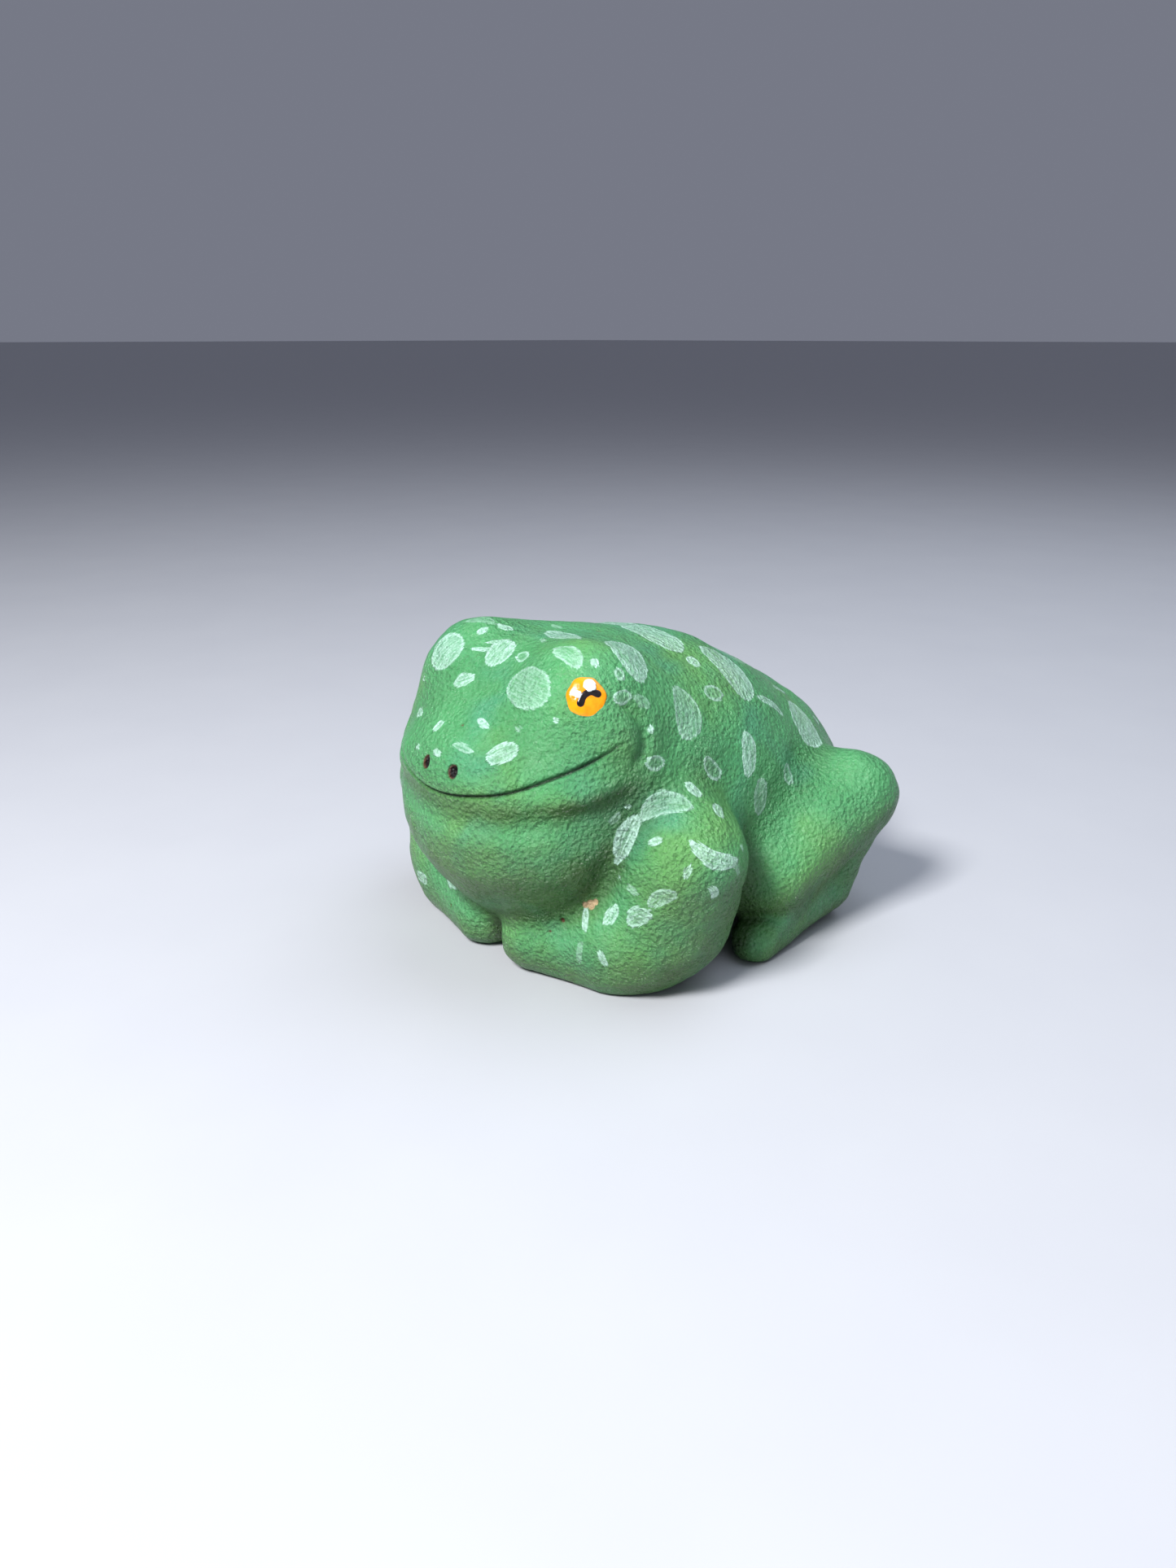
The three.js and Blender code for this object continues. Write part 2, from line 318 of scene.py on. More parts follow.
def mouth_distance(points, normals):
    """How far a point on the skin is above the mouth line, and how surely the mouth runs there."""
    slope = slope_of(mouth_plane, points)
    slope -= (slope * normals).sum(1)[:, None] * normals
    distance = mouth_plane(points) / np.maximum(np.linalg.norm(slope, axis=1), 0.3)
    runs = 1 - rise(points[:, 1], MOUTH["corner"] - 16, MOUTH["corner"] + 1)
    return distance, runs


def nostril_reach(points):
    """1 at a nostril's edge and 0 at its middle."""
    local = mirrored(points) - np.array(NOSTRIL["centre"])
    reach = np.hypot(local[:, 0] / NOSTRIL["across"], local[:, 2] / NOSTRIL["tall"])
    return reach + (points[:, 1] > NOSTRIL_BACK) * FAR_OFF


def flaw_reach(points, flaws):
    """1 at the edge of the nearest flaw and 0 at its middle."""
    reach = np.full(len(points), FAR_OFF)
    for centre, across in flaws:
        middle = settle(np.array([centre], float))
        reach = np.minimum(reach, np.linalg.norm(points - middle, axis=1) / (across / 2))
    return reach


def cheek_height(points):
    """A swelling at each corner of the mouth, with a fold behind it that dies away in front."""
    local = mirrored(points) - np.array(CHEEK["centre"])
    reach = np.linalg.norm(local, axis=1)
    behind = rise(local[:, 1] / np.maximum(reach, 1), 0.15, 0.75)
    fold = np.exp(-(((reach - CHEEK["reach"]) / CHEEK["fold_width"]) ** 2))
    swell = 1 - rise(reach, 0.2 * CHEEK["reach"], 0.95 * CHEEK["reach"])
    return CHEEK["swell"] * swell - CHEEK["fold"] * fold * behind


def sculpted(points, normals):
    """The skin's fine shape: uneven casting, cheeks, mouth, nostrils and flaws, along its normals."""
    height = sum(amount * ripple(points, size, seed) for size, amount, seed in LUMPS)
    height += cheek_height(points)
    distance, runs = mouth_distance(points, normals)
    groove = np.exp(-((distance / MOUTH_WIDTH) ** 2))
    lip = np.exp(-(((distance - LIP_WIDTH) / LIP_WIDTH) ** 2))
    height += runs * (LIP_ROLL * lip - MOUTH_DEPTH * groove)
    height -= NOSTRIL["depth"] * (1 - rise(nostril_reach(points), 0.35, 1.25))
    height -= PIT_DEPTH * (1 - rise(flaw_reach(points, PITS), 0.5, 1.3))
    height -= PIT_DEPTH * (1 - rise(flaw_reach(points, CHIP), 0.7, 1.1))
    return points + (height * rise(points[:, 2], SCULPT_FROM, SCULPT_FULL))[:, None] * normals


def hollowness(points, normals):
    """0 on open skin and up to 1 deep in a fold, from how close the skin is along the normal."""
    total = np.zeros(len(points))
    for reach in FOLD_REACHES:
        total += np.clip(1 - skin(points + reach * normals) / reach, 0, 1)
    return total / len(FOLD_REACHES)


def fine_zone(points):
    """Where the mesh is cut finer: along the mouth, and at the nostrils and pits."""
    normals = unit(slope_of(skin, points))
    distance, runs = mouth_distance(points, normals)
    near_mouth = (np.abs(distance) < FINE_MOUTH) & (runs > 0.02) & (points[:, 2] > FINE_ABOVE)
    near_flaw = flaw_reach(points, PITS + CHIP) < FINE_FLAW
    return near_mouth | (nostril_reach(points) < FINE_FLAW) | near_flaw


def refine(shape, zone):
    """Cuts the faces in a zone into four."""
    centres = np.array([face.calc_center_median() for face in shape.faces])
    wanted = [face for face, chosen in zip(shape.faces, zone(centres)) if chosen]
    edges = {edge for face in wanted for edge in face.edges}
    bmesh.ops.subdivide_edges(shape, edges=list(edges), cuts=1, use_grid_fill=True)


def skin_mesh():
    values, corner = grid_values(skin, ROOM_LOW, ROOM_HIGH, CELL)
    points, quads = surface_nets(values, corner, CELL)
    data = bpy.data.meshes.new("frog_skin")
    data.from_pydata(settle(points).tolist(), [], quads.tolist())
    shape = bmesh.new()
    shape.from_mesh(data)
    for _ in range(FINE_ROUNDS):
        refine(shape, fine_zone)
    shape.to_mesh(data)
    shape.free()
    return data


def get_points(data):
    flat = np.empty(len(data.vertices) * 3)
    data.vertices.foreach_get("co", flat)
    return flat.reshape(-1, 3)


def set_points(data, points):
    data.vertices.foreach_set("co", np.ascontiguousarray(points, np.float32).ravel())
    data.update()


def set_attribute(data, name, values):
    kind, key = ("FLOAT", "value") if values.ndim == 1 else ("FLOAT_VECTOR", "vector")
    layer = data.attributes.new(name, kind, "POINT")
    layer.data.foreach_set(key, np.ascontiguousarray(values, np.float32).ravel())


# ---- spots ----
# A white spot is (look, place, length, width, turn, bend). A look is how much ink covers it and how
# hollow it is. The turn is in degrees from the frog's back towards its left, and the bend is how far
# its middle bows out over its length.
BOLD, LIGHT, FAINT, RING = (0.88, 0.25), (0.62, 0.5), (0.38, 0.2), (0.78, 1.0)
HEAD_SPOTS = (
    (BOLD, (-24, -66, 105), 14.5, 14, 25, 0),
    (BOLD, (-6, -57, 105), 13, 9, -10, 0),
    (BOLD, (-10, -55, 108), 9, 2, 35, 0),
    (BOLD, (-12, -60, 106), 7, 1.8, 50, 0),
    (BOLD, (-17, -55, 110), 5, 3.2, -5, 0),
    (BOLD, (-14, -48, 111), 6, 3.5, 65, 0),
    (FAINT, (-22, -52, 112), 11, 5.5, 65, 0.1),
    (RING, (4, -56, 105), 7, 5, -55, 0),
    (BOLD, (-11, -68, 97), 8, 5, 35, 0),
    (LIGHT, (18, -67, 101), 21, 14, -70, 0),
    (LIGHT, (25, -58, 111), 14.5, 7, -75, -0.1),
    (BOLD, (5, -39, 109), 19, 9, -75, 0.05),
    (FAINT, (-7, -31, 109), 6, 3, -75, 0),
    (BOLD, (34, -54, 110), 4.2, 3, -70, 0),
    (BOLD, (31, -35, 107), 26, 15, -55, 0.06),
    (FAINT, (4, -47, 108), 5, 2, -60, 0),
)
CHEEK_SPOTS = (
    (RING, (39, -48, 106), 5, 4, -65, 0),
    (RING, (43, -51, 100), 7.5, 5, 0, 0),
    (FAINT, (44, -44, 97), 7, 4.5, 40, 0),
    (BOLD, (48, -44, 89), 3.2, 2.6, -85, 0),
    (RING, (51, -45, 79), 8, 5, 10, 0),
    (BOLD, (32, -69, 94), 2.6, 2, 40, 0),
)
SNOUT_SPOTS = (
    (BOLD, (8, -77, 89), 6.5, 2.8, -75, 0),
    (BOLD, (-9, -82, 86), 5, 3.5, 20, 0),
    (BOLD, (-26, -76, 85), 6.5, 3.5, -45, 0),
    (LIGHT, (7, -85, 83), 9, 3, 85, 0),
    (BOLD, (20, -80, 83), 11, 7, 20, 0),
    (BOLD, (-2, -88, 80), 5, 2.4, -80, 0),
    (BOLD, (-14, -87, 79), 3, 1.6, -45, 0),
    (FAINT, (21, -74, 90), 3, 2, -80, 0),
)
BACK_SPOTS = (
    (BOLD, (11, -2, 105), 29, 16, -85, 0),
    (BOLD, (30, -2, 99), 6.5, 5, -70, 0),
    (BOLD, (34, 12, 94), 27, 17, -90, -0.1),
    (BOLD, (44, 24, 80), 16, 4, 35, 0.05),
    (BOLD, (31, 48, 78), 9, 4, 10, 0.1),
    (BOLD, (45, 44, 69), 22, 17, -60, -0.07),
    (BOLD, (39, 63, 65), 5, 2.5, 60, 0),
    (FAINT, (22, 28, 94), 16, 6, 35, 0),
    (RING, (42, -6, 91), 9.5, 6.5, 10, 0),
)
SIDE_SPOTS = (
    (LIGHT, (46, -26, 90), 19, 13, -65, -0.09),
    (BOLD, (58, -35, 69), 7, 4.6, 70, 0),
    (BOLD, (55, -3, 72), 16, 8, -70, -0.05),
    (RING, (55, -21, 72), 10, 6, 55, -0.06),
    (RING, (58, 18, 60), 8, 5, -80, 0.1),
    (LIGHT, (59, 0, 57), 13, 8, -70, 0),
    (BOLD, (66, -31, 63), 7, 4.5, -45, 0.08),
)
ARM_SPOTS = (
    (BOLD, (49, -55, 67), 2.6, 1.8, 40, 0),
    (LIGHT, (58, -47, 66), 17.5, 8, 25, 0.15),
    (BOLD, (50.3, -56.9, 57.3), 16, 6.5, -41, 0),
    (BOLD, (49, -58.5, 50.5), 6.5, 2.6, -51, 0),
    (BOLD, (60, -54, 58), 5, 2.5, 25, 0),
    (BOLD, (74, -42, 56), 18, 6, 40, -0.18),
    (BOLD, (71, -52, 51), 5, 2.8, -55, 0),
    (BOLD, (76, -46, 43), 6, 3, 65, 0.2),
    (BOLD, (75, -30, 53), 3.6, 2, 70, 0),
    (FAINT, (77, -36, 49), 5.5, 2.8, 70, 0),
    (BOLD, (49, -59, 44), 2.5, 1.6, -10, 0),
    (FAINT, (55, -59, 42), 5.5, 2.6, -80, 0),
    (LIGHT, (65, -56, 41), 11, 5.5, -40, 0.1),
    (BOLD, (58, -58, 33), 10, 6.5, -25, 0.1),
    (BOLD, (48, -60, 31), 9, 4.5, 20, -0.05),
    (BOLD, (47, -62, 17), 6.5, 3, 65, 0),
    (FAINT, (45, -58, 63), 5, 3, -35, 0),
    (BOLD, (39, -61, 26), 8, 3, -15, 0),
    (FAINT, (39, -64, 16), 8.5, 2.6, -45, 0),
)
FAR_SPOTS = (
    (BOLD, (-45, -61, 26), 5, 2.5, -10, 0),
    (BOLD, (-44, -64, 14), 8, 5, 20, 0),
    (BOLD, (-23, -68, 20), 10, 4, -50, 0),
    (RING, (-52, -55, 62), 7, 4, -10, 0),
)
RUMP_SPOTS = (
    (BOLD, (0, 50, 82), 21, 13, 70, 0.05),
    (BOLD, (-8, 70, 68), 12, 8, 20, 0),
    (LIGHT, (16, 76, 56), 15, 10, -60, 0.1),
    (BOLD, (-22, 60, 70), 7, 5, 40, 0),
    (RING, (4, 84, 46), 9, 6, 10, 0),
    (BOLD, (-20, 78, 44), 14, 8, -75, -0.08),
    (BOLD, (30, 72, 42), 10, 6, 60, 0),
    (BOLD, (-4, 88, 28), 11, 6, -20, 0.1),
    (LIGHT, (-42, 62, 48), 13, 9, -50, 0),
    (BOLD, (44, 66, 40), 6, 4, 20, 0),
    (BOLD, (-4, 18, 100), 9, 6, -30, 0),
)
TURNED_OVER = 0.85
ARM_SPOTS_ON_BOTH = 14


def other_side(spots):
    """The same spots on the frog's right, a little smaller."""
    return tuple(
        (look, (-x, y, z), length * TURNED_OVER, width, -turn, -bend)
        for look, (x, y, z), length, width, turn, bend in spots
    )


def spot_fields(points, normals):
    """For each point: how far inside a spot's edge it is, its place along the strokes, and its look."""
    spots = HEAD_SPOTS + CHEEK_SPOTS + SNOUT_SPOTS + BACK_SPOTS + SIDE_SPOTS + ARM_SPOTS
    spots += FAR_SPOTS + RUMP_SPOTS
    spots += other_side(CHEEK_SPOTS + BACK_SPOTS + SIDE_SPOTS + ARM_SPOTS[:ARM_SPOTS_ON_BOTH])
    edge = np.full(len(points), -FAR_OFF)
    stroke = np.zeros((len(points), 3))
    look = np.zeros((len(points), 3))
    middles = settle(np.array([spot[1] for spot in spots], float))
    outs = unit(slope_of(skin, middles))
    for number, ((ink, ring), _, length, width, turn, bend) in enumerate(spots):
        out = outs[number]
        back = unit(np.array((0, 1, 0)) - out[1] * out)
        left = np.cross(back, out)
        angle = np.radians(turn)
        along = np.cos(angle) * back + np.sin(angle) * left
        across = np.cross(out, along)
        local = points - middles[number]
        near = (np.abs(local) < length).all(1) & (normals @ out > 0.1)
        u = local[near] @ along / (length / 2)
        v = local[near] @ across - bend * length * (1 - u**2)
        scaled = np.stack([u, v / (width / 2)], 1)
        reach = np.linalg.norm(scaled, axis=1) + 1e-6
        slope = np.linalg.norm(scaled / (length / 2, width / 2), axis=1) + 1e-6
        depth = reach * (1 - reach) / slope
        best = depth > edge[near]
        chosen = np.flatnonzero(near)[best]
        edge[chosen] = depth[best]
        stroke[chosen] = np.stack([u * length / 2, v, np.full(len(u), number * 7.3)], 1)[best]
        look[chosen] = (ink, ring, (number * 0.37) % 1)
    return edge, stroke, look


# ---- paints ----
class Paint:
    """A material and short ways to add nodes to it."""

    def __init__(self, name, roughness):
        self.material = bpy.data.materials.new(name)
        self.material.use_nodes = True
        self.tree = self.material.node_tree
        self.shader = self.tree.nodes["Principled BSDF"]
        self.shader.inputs["Roughness"].default_value = roughness
        self.place = self.add("ShaderNodeTexCoord").outputs["Object"]

    def add(self, kind, values=None, **settings):
        node = self.tree.nodes.new(kind)
        for name, value in settings.items():
            setattr(node, name, value)
        for socket, value in (values or {}).items():
            self.feed(node.inputs[socket], value)
        return node

    def feed(self, socket, value):
        if isinstance(value, bpy.types.NodeSocket):
            self.tree.links.new(value, socket)
        elif isinstance(value, tuple) and len(value) == 3 and socket.type == "RGBA":
            socket.default_value = (*value, 1)
        else:
            socket.default_value = value

    def attribute(self, name, output="Fac"):
        return self.add("ShaderNodeAttribute", attribute_name=name).outputs[output]

    def noise(self, size_mm, detail=2.0, rough=0.5, warp=0.0):
        values = {"Scale": 1000 / size_mm, "Detail": detail, "Roughness": rough, "Distortion": warp}
        values["Vector"] = self.place
        return self.add("ShaderNodeTexNoise", values).outputs["Fac"]

    def cells(self, size_mm):
        values = {"Scale": 1000 / size_mm, "Vector": self.place, "Smoothness": 0.6}
        node = self.add("ShaderNodeTexVoronoi", values, feature="SMOOTH_F1")
        return node.outputs["Distance"]

    def ramp(self, value, low, high, start=0.0, end=1.0):
        values = {"Value": value, "From Min": low, "From Max": high, "To Min": start, "To Max": end}
        node = self.add("ShaderNodeMapRange", values, interpolation_type="SMOOTHSTEP")
        return node.outputs["Result"]

    def math(self, operation, first, second=0.0):
        return self.add("ShaderNodeMath", {0: first, 1: second}, operation=operation).outputs[0]

    def mix(self, factor, first, second):
        node = self.add("ShaderNodeMix", {0: factor, 6: first, 7: second}, data_type="RGBA")
        return node.outputs[2]

    def bump(self, height, depth_mm, strength):
        values = {"Height": height, "Distance": depth_mm * MM, "Strength": strength}
        return self.add("ShaderNodeBump", values).outputs["Normal"]

    def finish(self, **links):
        for name, value in links.items():
            self.feed(self.shader.inputs[name.replace("_", " ")], value)
        return self.material


GREEN = (0.074, 0.325, 0.115)
LEAF = (0.13, 0.35, 0.085)
SEA = (0.065, 0.315, 0.17)
# Painted shade in the folds, and also a random olive mottle of the greens.
OLIVE = (0.030, 0.085, 0.016)
# Painted shade: a darker green laid where the skin faces down.
UNDERSIDE_SHADE = (0.085, 0.20, 0.050)
MINT = (0.56, 0.83, 0.70)
BROWN = (0.10, 0.035, 0.02)
TAN = (0.50, 0.36, 0.20)
# Near black: the mouth groove's and nostrils' own dark colour, deepened into painted shadow inside them.
RECESS_DARK_AND_SHADE = (0.008, 0.006, 0.006)
GRAIN_CELL = 1.5
GRAIN_DEPTH = 1.6


def green_coats_and_shade(paint):
    """Sprayed greens that drift into each other, with painted shade: darker where the skin faces down
    and deep in the folds.
    """
    colour = paint.mix(paint.ramp(paint.noise(38, 2.5), 0.45, 0.68, 0.0, 0.75), GREEN, LEAF)
    colour = paint.mix(paint.ramp(paint.noise(30, 2, warp=0.4), 0.48, 0.72, 0.0, 0.7), colour, SEA)
    # Painted shade on the skin that faces down, made patchy by noise.
    under = paint.ramp(paint.noise(9, 3, 0.6), 0.3, 0.7, 0.55, 1.0)
    colour = paint.mix(paint.math("MULTIPLY", paint.attribute("under"), under), colour, UNDERSIDE_SHADE)
    # Painted shade: olive deep in the folds.
    fold = paint.attribute("fold")
    colour = paint.mix(paint.ramp(fold, 0.08, 0.65, 0.0, 0.95), colour, OLIVE)
    mottle = paint.ramp(paint.noise(1.6, 3, 0.6), 0.3, 0.7, 0.0, 0.22)
    return paint.mix(mottle, colour, OLIVE)


def pen_strokes(paint):
    """How much white pen covers the green: scribbled strokes inside each spot's edge."""
    edge = paint.attribute("spot_edge")
    stroke = paint.attribute("spot_stroke", "Vector")
    look = paint.add("ShaderNodeSeparateXYZ", {0: paint.attribute("spot_look", "Vector")})
    ink, ring = look.outputs[0], look.outputs[1]
    stretched = paint.add("ShaderNodeMapping", {0: stroke, 3: (0.16, 1.5, 1.0)}).outputs[0]
    hatch = paint.add(
        "ShaderNodeTexNoise",
        {"Vector": stretched, "Scale": 1.0, "Detail": 3.5, "Roughness": 0.62, "Distortion": 0.55},
    ).outputs["Fac"]
    ragged = paint.math("MULTIPLY", paint.math("SUBTRACT", hatch, 0.5), 2.6)
    depth = paint.math("ADD", edge, ragged)
    inside = paint.ramp(depth, -0.1, 0.35)
    rim = paint.math("MULTIPLY", inside, paint.ramp(depth, 1.25, 0.45))
    cover = paint.ramp(hatch, 0.38, 0.60, 0.30, 1.0)
    hollow = paint.math("MULTIPLY", ring, paint.ramp(depth, 0.6, 1.6, 0.0, 0.8))
    body = paint.math("MULTIPLY", cover, paint.math("SUBTRACT", 1.0, hollow))
    solid = paint.math("MAXIMUM", paint.math("MULTIPLY", inside, body), paint.math("MULTIPLY", rim, 0.8))
    grain = paint.ramp(paint.noise(0.7, 2), 0.32, 0.58, 0.55, 1.0)
    return paint.math("MULTIPLY", paint.math("MULTIPLY", solid, ink), grain)


def leather(paint):
    """The grain of the skin: small rounded cells over a finer tooth."""
    cells = paint.cells(GRAIN_CELL)
    tooth = paint.noise(0.7, 3, 0.6)
    dents = paint.noise(3, 2, 0.5)
    fine = paint.math("ADD", paint.math("MULTIPLY", cells, 0.9), paint.math("MULTIPLY", tooth, 0.9))
    fine = paint.math("ADD", fine, paint.math("MULTIPLY", dents, 0.9))
    return paint.math("MULTIPLY", fine, paint.attribute("grain"))


def green_paint():
    paint = Paint("green_paint", 0.42)
    pen = pen_strokes(paint)
    colour = paint.mix(pen, green_coats_and_shade(paint), MINT)
    colour = paint.mix(paint.attribute("pit"), colour, BROWN)
    colour = paint.mix(paint.attribute("chip"), colour, TAN)
    # The mouth groove: its own dark line, deepened with painted shadow under the upper lip.
    colour = paint.mix(paint.attribute("mouth"), colour, RECESS_DARK_AND_SHADE)
    # The nostrils: brown casting at the rim, then painted shadow deep in the hole.
    nostril = paint.attribute("nostril")
    colour = paint.mix(paint.ramp(nostril, 0.1, 0.5), colour, BROWN)
    colour = paint.mix(paint.ramp(nostril, 0.45, 0.85), colour, RECESS_DARK_AND_SHADE)
    rough = paint.ramp(paint.noise(3, 3, 0.6), 0.3, 0.7, 0.22, 0.38)
    height = paint.math("ADD", leather(paint), paint.math("MULTIPLY", pen, 0.12))
    normal = paint.bump(height, GRAIN_DEPTH, 1.0)
    return paint.finish(Base_Color=colour, Roughness=rough, Normal=normal)


def gloss_paint(name, base, other, size_mm, depth_mm):
    """Thick gloss: two close tones drift over it, and it lies a little unevenly."""
    paint = Paint(name, 0.16)
    colour = paint.mix(paint.ramp(paint.noise(size_mm, 3, 0.6), 0.35, 0.7), base, other)
    waves = paint.noise(1.1, 3, 0.55)
    return paint.finish(Base_Color=colour, Normal=paint.bump(waves, depth_mm, 0.7))


def floor_paint():
    paint = Paint("floor_paint", 0.6)
    colour = paint.mix(paint.noise(60, 3), (0.45, 0.455, 0.48), (0.48, 0.485, 0.505))
    return paint.finish(Base_Color=colour)


# ---- pieces ----
# The right eye is further back than the left one, and a little lower.
LEFT_EYE = (38, -62, 101.3)
RIGHT_EYE = (39, -50, 98)
IRIS_RADIUS = 6.3
PUPIL_LINE = ((-1.8, -1.9), (-1.1, -0.35), (0.0, 0.8), (1.5, 1.2), (3.3, 0.7))
PUPIL_HALF = (1.2, 1.05, 1.1, 1.0, 1.2)
BIG_GLINT = (1.1, 3.3)
SMALL_GLINT = (-2.5, 0.7)
RINGS = (1.0, 0.97, 0.9, 0.75, 0.5, 0.25, 0.0)
SUNK = 0.35


def eye_frame(centre):
    """Where an eye is on the skin, and its across, up and out directions."""
    origin = settle(np.array([centre], float))
    out = unit(slope_of(skin, origin, 2))[0]
    across = unit(np.cross((0, 0, 1), out))
    return origin[0], across, np.cross(out, across)


def disc_outline(centre, radius, count, wobble, seed):
    """A round blob: for each outline point the middle that it shrinks to, and the way out to it."""
    draw = np.random.default_rng(seed)
    turn = np.linspace(0, 2 * np.pi, count, endpoint=False)
    reach = np.ones(count)
    for wave in range(2, 15):
        reach += wobble * draw.normal() / wave * np.sin(wave * turn + draw.uniform(0, 2 * np.pi))
    way = radius * reach[:, None] * np.stack([np.cos(turn), np.sin(turn)], 1)
    return np.tile(centre, (count, 1)).astype(float), way


def stroke_outline(line, halves, count):
    """A brush stroke along a bent line, with round ends."""
    line = np.array(line)
    spread = np.linspace(0, len(line) - 1, count)
    middle = np.stack([smooth_curve(line[:, n], spread) for n in (0, 1)], 1)
    half = smooth_curve(np.array(halves), spread)
    tangent = unit(np.gradient(middle, axis=0))
    side = np.stack([-tangent[:, 1], tangent[:, 0]], 1)
    caps = np.linspace(0, np.pi, 9)[1:-1, None]
    end_cap = np.cos(caps) * side[-1] + np.sin(caps) * tangent[-1]
    start_cap = -np.cos(caps) * side[0] - np.sin(caps) * tangent[0]
    end = np.tile(middle[-1], (len(caps), 1))
    start = np.tile(middle[0], (len(caps), 1))
    middles = [middle, end, middle[::-1], start]
    bank = side * half[:, None]
    ways = [bank, end_cap * half[-1], -bank[::-1], start_cap * half[0]]
    return np.concatenate(middles)[::-1], np.concatenate(ways)[::-1]


def smooth_curve(values, spread):
    """A curve through evenly spaced values, with no corners."""
    padded = np.concatenate([[2 * values[0] - values[1]], values, [2 * values[-1] - values[-2]]])
    start = np.clip(spread.astype(int), 0, len(values) - 2)
    part = spread - start
    a, b, c, d = (padded[start + n] for n in range(4))
    return b + part / 2 * (c - a + part * (2 * a - 5 * b + 4 * c - d + part * (3 * (b - c) + d - a)))


def dab(name, outline, lift, thickness, eye, side):
    """A dab of thick paint, crowned and with a rounded edge, that follows the skin under it."""
    origin, across, up = eye_frame(eye)
    middles, ways = outline
    count = len(middles)
    top, under = [], []
    for scale in RINGS:
        flat = middles + scale * ways
        on_skin = settle(origin + flat[:, :1] * across + flat[:, 1:] * up)
        out = unit(slope_of(skin, on_skin))
        crown = np.sqrt(max(1 - scale**6, 0)) * (0.8 + 0.2 * (1 - scale**2))
        top.append(on_skin + (lift + thickness * crown) * out)
        under.append(on_skin + (lift - SUNK) * out)
    points = np.concatenate(top + under) * (side, 1, 1)
    faces = []
    for ring in range(len(RINGS) - 1):
        for n in range(count):
            m = (n + 1) % count
            outer, inner = ring * count, (ring + 1) * count
            low = len(RINGS) * count
            faces.append((outer + n, outer + m, inner + m, inner + n))
            faces.append((low + inner + n, low + inner + m, low + outer + m, low + outer + n))
    low = len(RINGS) * count
    faces += [(low + n, low + (n + 1) % count, (n + 1) % count, n) for n in range(count)]
    data = bpy.data.meshes.new(name)
    data.from_pydata(points.tolist(), [], faces)
    shape = bmesh.new()
    shape.from_mesh(data)
    bmesh.ops.remove_doubles(shape, verts=shape.verts, dist=0.004)
    bmesh.ops.dissolve_degenerate(shape, edges=shape.edges, dist=0.002)
    bmesh.ops.recalc_face_normals(shape, faces=shape.faces)
    shape.to_mesh(data)
    shape.free()
    return data


def stand(data, shift):
    """Brings a mesh from the frog's millimetres to the frame's metres."""
    set_points(data, (get_points(data) + shift) * MM)
    data.shade_smooth()


def piece(name, data, material, node):
    made = bpy.data.objects.new(name, data)
    bpy.context.scene.collection.objects.link(made)
    data.materials.append(material)
    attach(made, "root")
    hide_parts(node)
    return made


def frog_skin():
    """The sculpted skin, and what its paint needs to know at each point."""
    data = skin_mesh()
    points = settle(get_points(data), 2)
    normals = unit(slope_of(skin, points))
    edge, stroke, look = spot_fields(points, normals)
    distance, runs = mouth_distance(points, normals)
    # A dark line along the mouth groove, partly its own colour and partly painted shadow under the upper
    # lip.
    line = np.exp(-((distance / (0.75 * MOUTH_WIDTH)) ** 2)) * runs
    set_attribute(data, "spot_edge", edge)
    set_attribute(data, "spot_stroke", stroke)
    set_attribute(data, "spot_look", look)
    # How deep in a fold each point lies; the paint darkens it there as painted shade.
    set_attribute(data, "fold", hollowness(points, normals))
    set_attribute(data, "mouth", 0.9 * line)
    set_attribute(data, "nostril", 1 - rise(nostril_reach(points), 0.55, 1.25))
    set_attribute(data, "pit", 1 - rise(flaw_reach(points, PITS), 0.6, 1.1))
    set_attribute(data, "chip", 1 - rise(flaw_reach(points, CHIP), 0.8, 1.05))
    low_and_under = rise(-normals[:, 2], -0.6, 0.5)
    patchy = 0.15 * ripple(points, 24, 21)
    set_attribute(data, "grain", np.clip(0.55 + 0.6 * low_and_under + patchy, 0.3, 1.3))
    # How much the skin faces down; the paint darkens it there as painted shade.
    set_attribute(data, "under", 0.95 * rise(-normals[:, 2], -0.4, 0.45))
    set_points(data, sculpted(points, normals))
    return data


def place_shift(data):
    """Stands the skin in the middle of the CAD casting."""
    low, high = (np.array(corner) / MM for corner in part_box("body_casting"))
    points = get_points(data)
    shift = (low + high - points.min(0) - points.max(0)) / 2
    return np.array((shift[0], shift[1], -points[:, 2].min()))


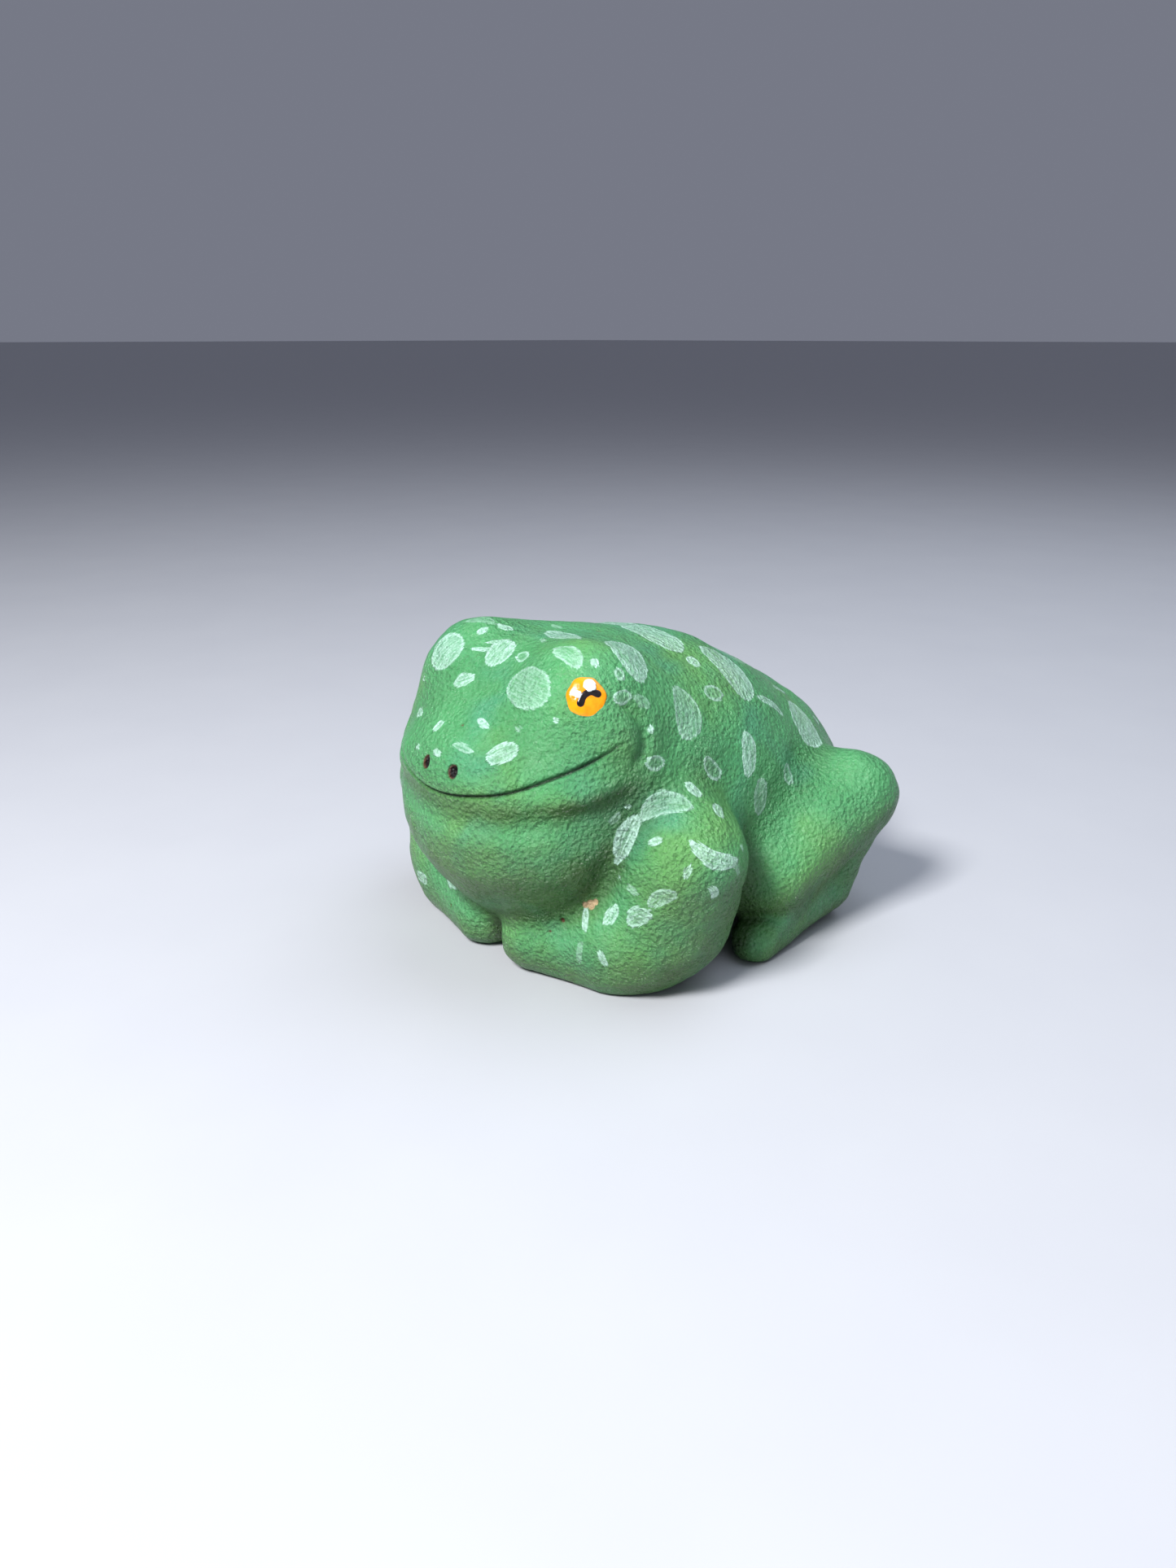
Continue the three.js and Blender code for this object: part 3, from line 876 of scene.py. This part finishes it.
def build_frog():
    data = frog_skin()
    shift = place_shift(data)
    stand(data, shift)
    piece("frog_skin", data, green_paint(), "body_casting")
    orange = gloss_paint("orange_gloss", (0.95, 0.33, 0.004), (0.90, 0.23, 0.002), 5, 0.22)
    black = gloss_paint("black_gloss", (0.004, 0.004, 0.005), (0.014, 0.01, 0.01), 2, 0.1)
    white = gloss_paint("white_gloss", (0.80, 0.86, 0.84), (0.66, 0.76, 0.78), 2, 0.06)
    for side_name, side, eye in (("left", 1, LEFT_EYE), ("right", -1, RIGHT_EYE)):
        iris = disc_outline((0, 0), IRIS_RADIUS, 96, 0.075, 31)
        pupil = stroke_outline(PUPIL_LINE, PUPIL_HALF, 29)
        big = disc_outline(BIG_GLINT, 1.95, 40, 0.1, 32)
        small = disc_outline(SMALL_GLINT, 1.15, 32, 0.1, 33)
        for part, outline, lift, thickness, material, slot in (
            ("iris", iris, 0.0, 0.75, orange, "orange_paint"),
            ("pupil", pupil, 0.62, 0.3, black, "black_paint"),
            ("big_glint", big, 0.75, 0.5, white, "white_paint"),
            ("small_glint", small, 0.75, 0.42, white, "white_paint"),
        ):
            name = f"{part}_{side_name}"
            shape = dab(f"{name}_paint", outline, lift, thickness, eye, side)
            stand(shape, shift)
            piece(f"{name}_paint", shape, material, name)


# ---- studio ----
CAMERA_PLACE = (265.2, -292.7, 201.5)
CAMERA_DOWN = 21.61
CAMERA_TURN = 44.53
CAMERA_LENS = 26.0
SENSOR = 36.0
FLOOR_HALF = 40.0


def build_floor():
    corners = [(-FLOOR_HALF, -FLOOR_HALF, 0), (FLOOR_HALF, -FLOOR_HALF, 0)]
    corners += [(FLOOR_HALF, FLOOR_HALF, 0), (-FLOOR_HALF, FLOOR_HALF, 0)]
    data = bpy.data.meshes.new("floor")
    data.from_pydata(corners, [], [(0, 1, 2, 3)])
    floor = bpy.data.objects.new("floor", data)
    bpy.context.scene.collection.objects.link(floor)
    data.materials.append(floor_paint())


# A light is (name, place in metres, size, power, colour).
LIGHTS = (
    ("key", (0.10, -0.79, 0.88), 0.30, 22, (0.98, 0.985, 1.0)),
    ("fill", (1.0, -0.35, 0.55), 0.9, 0.6, (0.93, 0.96, 1.0)),
    ("top", (0.15, 0.45, 1.1), 1.1, 8.5, (0.80, 0.88, 1.0)),
)
WORLD_COLOUR = (0.70, 0.74, 0.92)
WORLD_STRENGTH = 0.26


def area_light(name, place, size, power, colour):
    """A soft square light that faces the middle of the frog."""
    lamp = bpy.data.lights.new(name, "AREA")
    lamp.size = size
    lamp.energy = power
    lamp.color = colour
    light = bpy.data.objects.new(name, lamp)
    bpy.context.scene.collection.objects.link(light)
    light.location = place
    aim = Vector((0, 0, 0.05)) - Vector(place)
    light.rotation_euler = aim.to_track_quat("-Z", "Y").to_euler()


def build_lights():
    for light in LIGHTS:
        area_light(*light)
    world = bpy.data.worlds.new("studio")
    world.use_nodes = True
    background = world.node_tree.nodes["Background"]
    background.inputs["Color"].default_value = (*WORLD_COLOUR, 1)
    background.inputs["Strength"].default_value = WORLD_STRENGTH
    bpy.context.scene.world = world


def build_camera():
    lens = bpy.data.cameras.new("camera")
    lens.lens = CAMERA_LENS
    lens.sensor_width = SENSOR
    lens.sensor_fit = "AUTO"
    lens.clip_start = 0.01
    camera = bpy.data.objects.new("camera", lens)
    bpy.context.scene.collection.objects.link(camera)
    camera.location = Vector(CAMERA_PLACE) * MM
    camera.rotation_euler = Euler((np.radians(90 - CAMERA_DOWN), 0, np.radians(CAMERA_TURN)))
    bpy.context.scene.camera = camera
    bpy.context.scene.view_settings.view_transform = "Standard"


build_camera()
build_frog()
build_floor()
build_lights()
